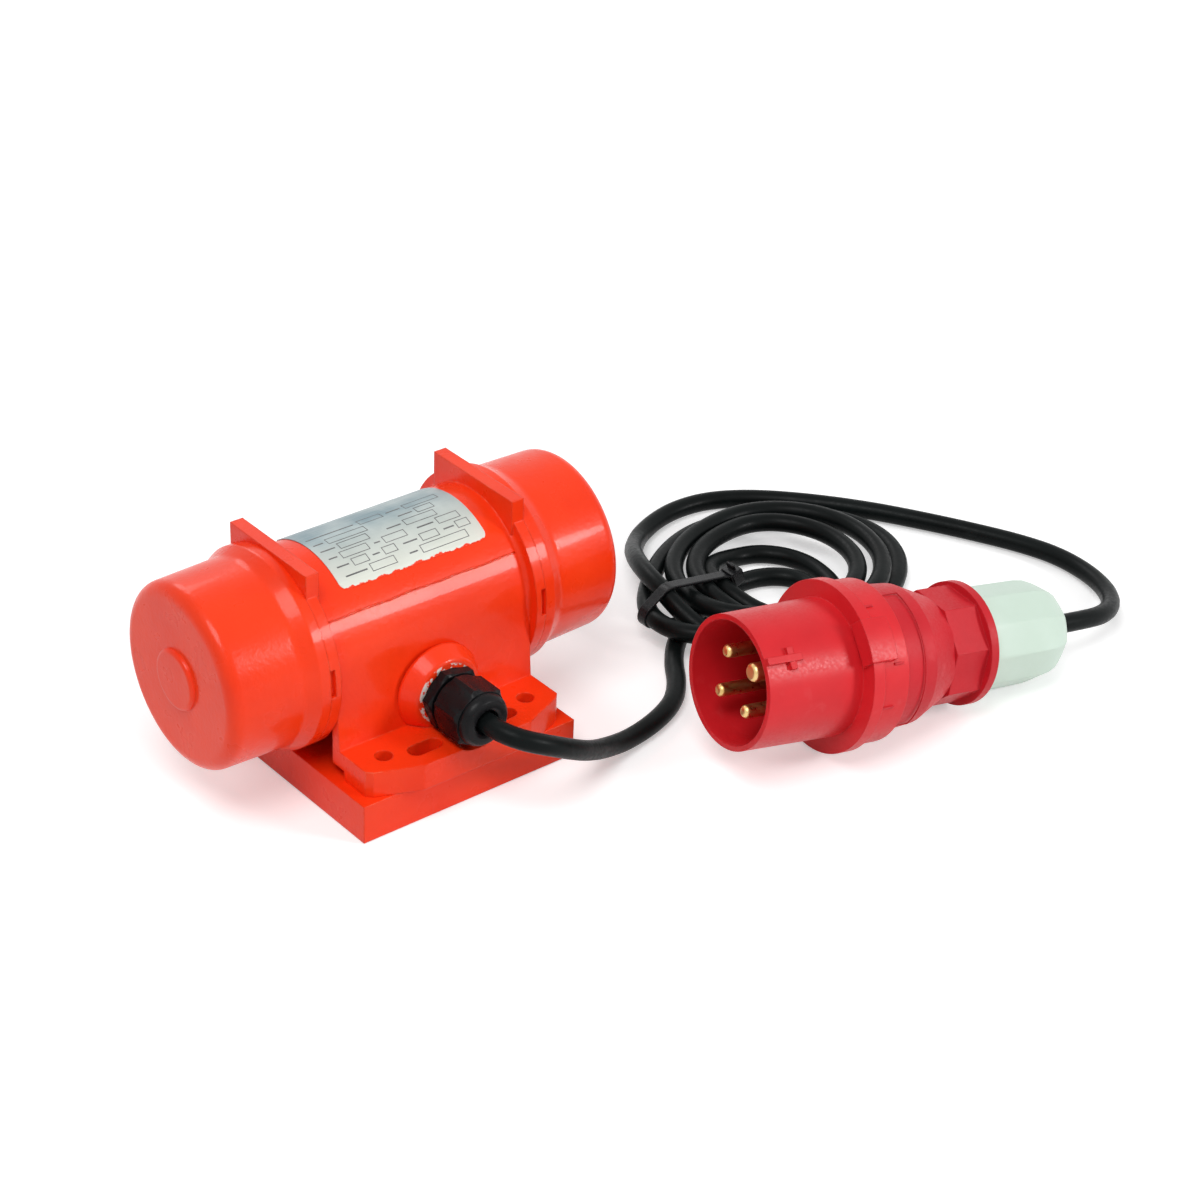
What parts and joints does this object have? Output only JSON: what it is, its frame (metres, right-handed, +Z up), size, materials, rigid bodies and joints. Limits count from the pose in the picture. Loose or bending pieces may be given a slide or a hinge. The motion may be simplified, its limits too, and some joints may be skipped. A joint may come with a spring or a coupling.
{
  "type": "vibration motor",
  "caption": "Rotary electric vibration motor: finned-foot casting with domed end caps over eccentric weights, base plate, side cable gland, coiled cable and round industrial plug.",
  "frame": {"origin": "centre of the base plate's underside, below the middle of the shaft", "axes": "+Z up from the mounting face, +X along the shaft towards the right-hand end cap, -Y towards the cable gland"},
  "size_m": [0.3801, 0.1927, 0.0913],
  "materials": {
    "orange_paint": "glossy enamel",
    "label_plate": "satin, blank",
    "steel": "machined",
    "laminations": "dull, edge-on sheets",
    "copper": "enamelled copper wire",
    "wire_insulation": "smooth",
    "rotor_bars": "cast",
    "bearing_steel": "ground",
    "cast_weight": "as cast",
    "dial_plate": "satin, bare dial",
    "black_rubber": "satin",
    "tie_plastic": "matte",
    "plug_red": "matte",
    "plug_insert": "matte",
    "plug_grey": "satin",
    "contact_brass": "bright"
  },
  "bodies": {
    "housing": {"base_plate": "orange_paint", "bearing_outer_left": "bearing_steel", "bearing_outer_right": "bearing_steel", "bearing_shield_left": "orange_paint", "bearing_shield_right": "orange_paint", "body_casting": "orange_paint", "cable_coil": "black_rubber", "cable_gland_stub": "black_rubber", "cable_lead": "black_rubber", "cable_plug_stub": "black_rubber", "cable_tail": "black_rubber", "cable_tie": "tie_plastic", "cap_seal_left": "black_rubber", "cap_seal_right": "black_rubber", "earth_pin": "contact_brass", "end_cap_left": "orange_paint", "end_cap_right": "orange_paint", "gland_body": "orange_paint", "gland_nut": "orange_paint", "gland_seal": "black_rubber", "nameplate": "label_plate", "phase_pins": "contact_brass", "plate_screws": "steel", "plug_front": "plug_red", "plug_housing": "plug_red", "plug_insert": "plug_insert", "plug_nut": "plug_grey", "plug_seal": "black_rubber", "shield_screws": "steel", "stator_core": "laminations", "stator_windings": "copper", "supply_leads": "wire_insulation", "terminal_screws": "steel"},
    "rotor": {"shaft": "steel", "rotor_core": "laminations", "rotor_cage": "rotor_bars", "shaft_spacers": "steel", "shaft_clips": "steel", "bearing_inner_left": "bearing_steel", "fixed_weight_left": "cast_weight", "dial_left": "dial_plate", "fixed_clamp_screw_left": "steel", "bearing_inner_right": "bearing_steel", "fixed_weight_right": "cast_weight", "dial_right": "dial_plate", "fixed_clamp_screw_right": "steel"},
    "balls_left": {"bearing_balls_left": "bearing_steel"},
    "adjustable_left": {"adjustable_weight_left": "cast_weight", "adjustable_clamp_screw_left": "steel"},
    "balls_right": {"bearing_balls_right": "bearing_steel"},
    "adjustable_right": {"adjustable_weight_right": "cast_weight", "adjustable_clamp_screw_right": "steel"}
  },
  "joints": [
    {"name": "rotor_spin", "type": "hinge", "parent": "housing", "child": "rotor", "pos_m": [0, 0, 0.0529], "axis": [1, 0, 0], "continuous": true},
    {"name": "balls_left_roll", "type": "hinge", "parent": "housing", "child": "balls_left", "pos_m": [0, 0, 0.0529], "axis": [1, 0, 0], "continuous": true},
    {"name": "balls_right_roll", "type": "hinge", "parent": "housing", "child": "balls_right", "pos_m": [0, 0, 0.0529], "axis": [1, 0, 0], "continuous": true},
    {"name": "adjustable_left_turn", "type": "hinge", "parent": "rotor", "child": "adjustable_left", "pos_m": [0, 0, 0.0529], "axis": [1, 0, 0], "range_deg": [0, 180]},
    {"name": "adjustable_right_turn", "type": "hinge", "parent": "rotor", "child": "adjustable_right", "pos_m": [0, 0, 0.0529], "axis": [1, 0, 0], "range_deg": [0, 180]}
  ],
  "couplings": [
    {"joint": "balls_left_roll", "follows": "rotor_spin", "ratio": 0.3682},
    {"joint": "balls_right_roll", "follows": "rotor_spin", "ratio": 0.3682}
  ]
}
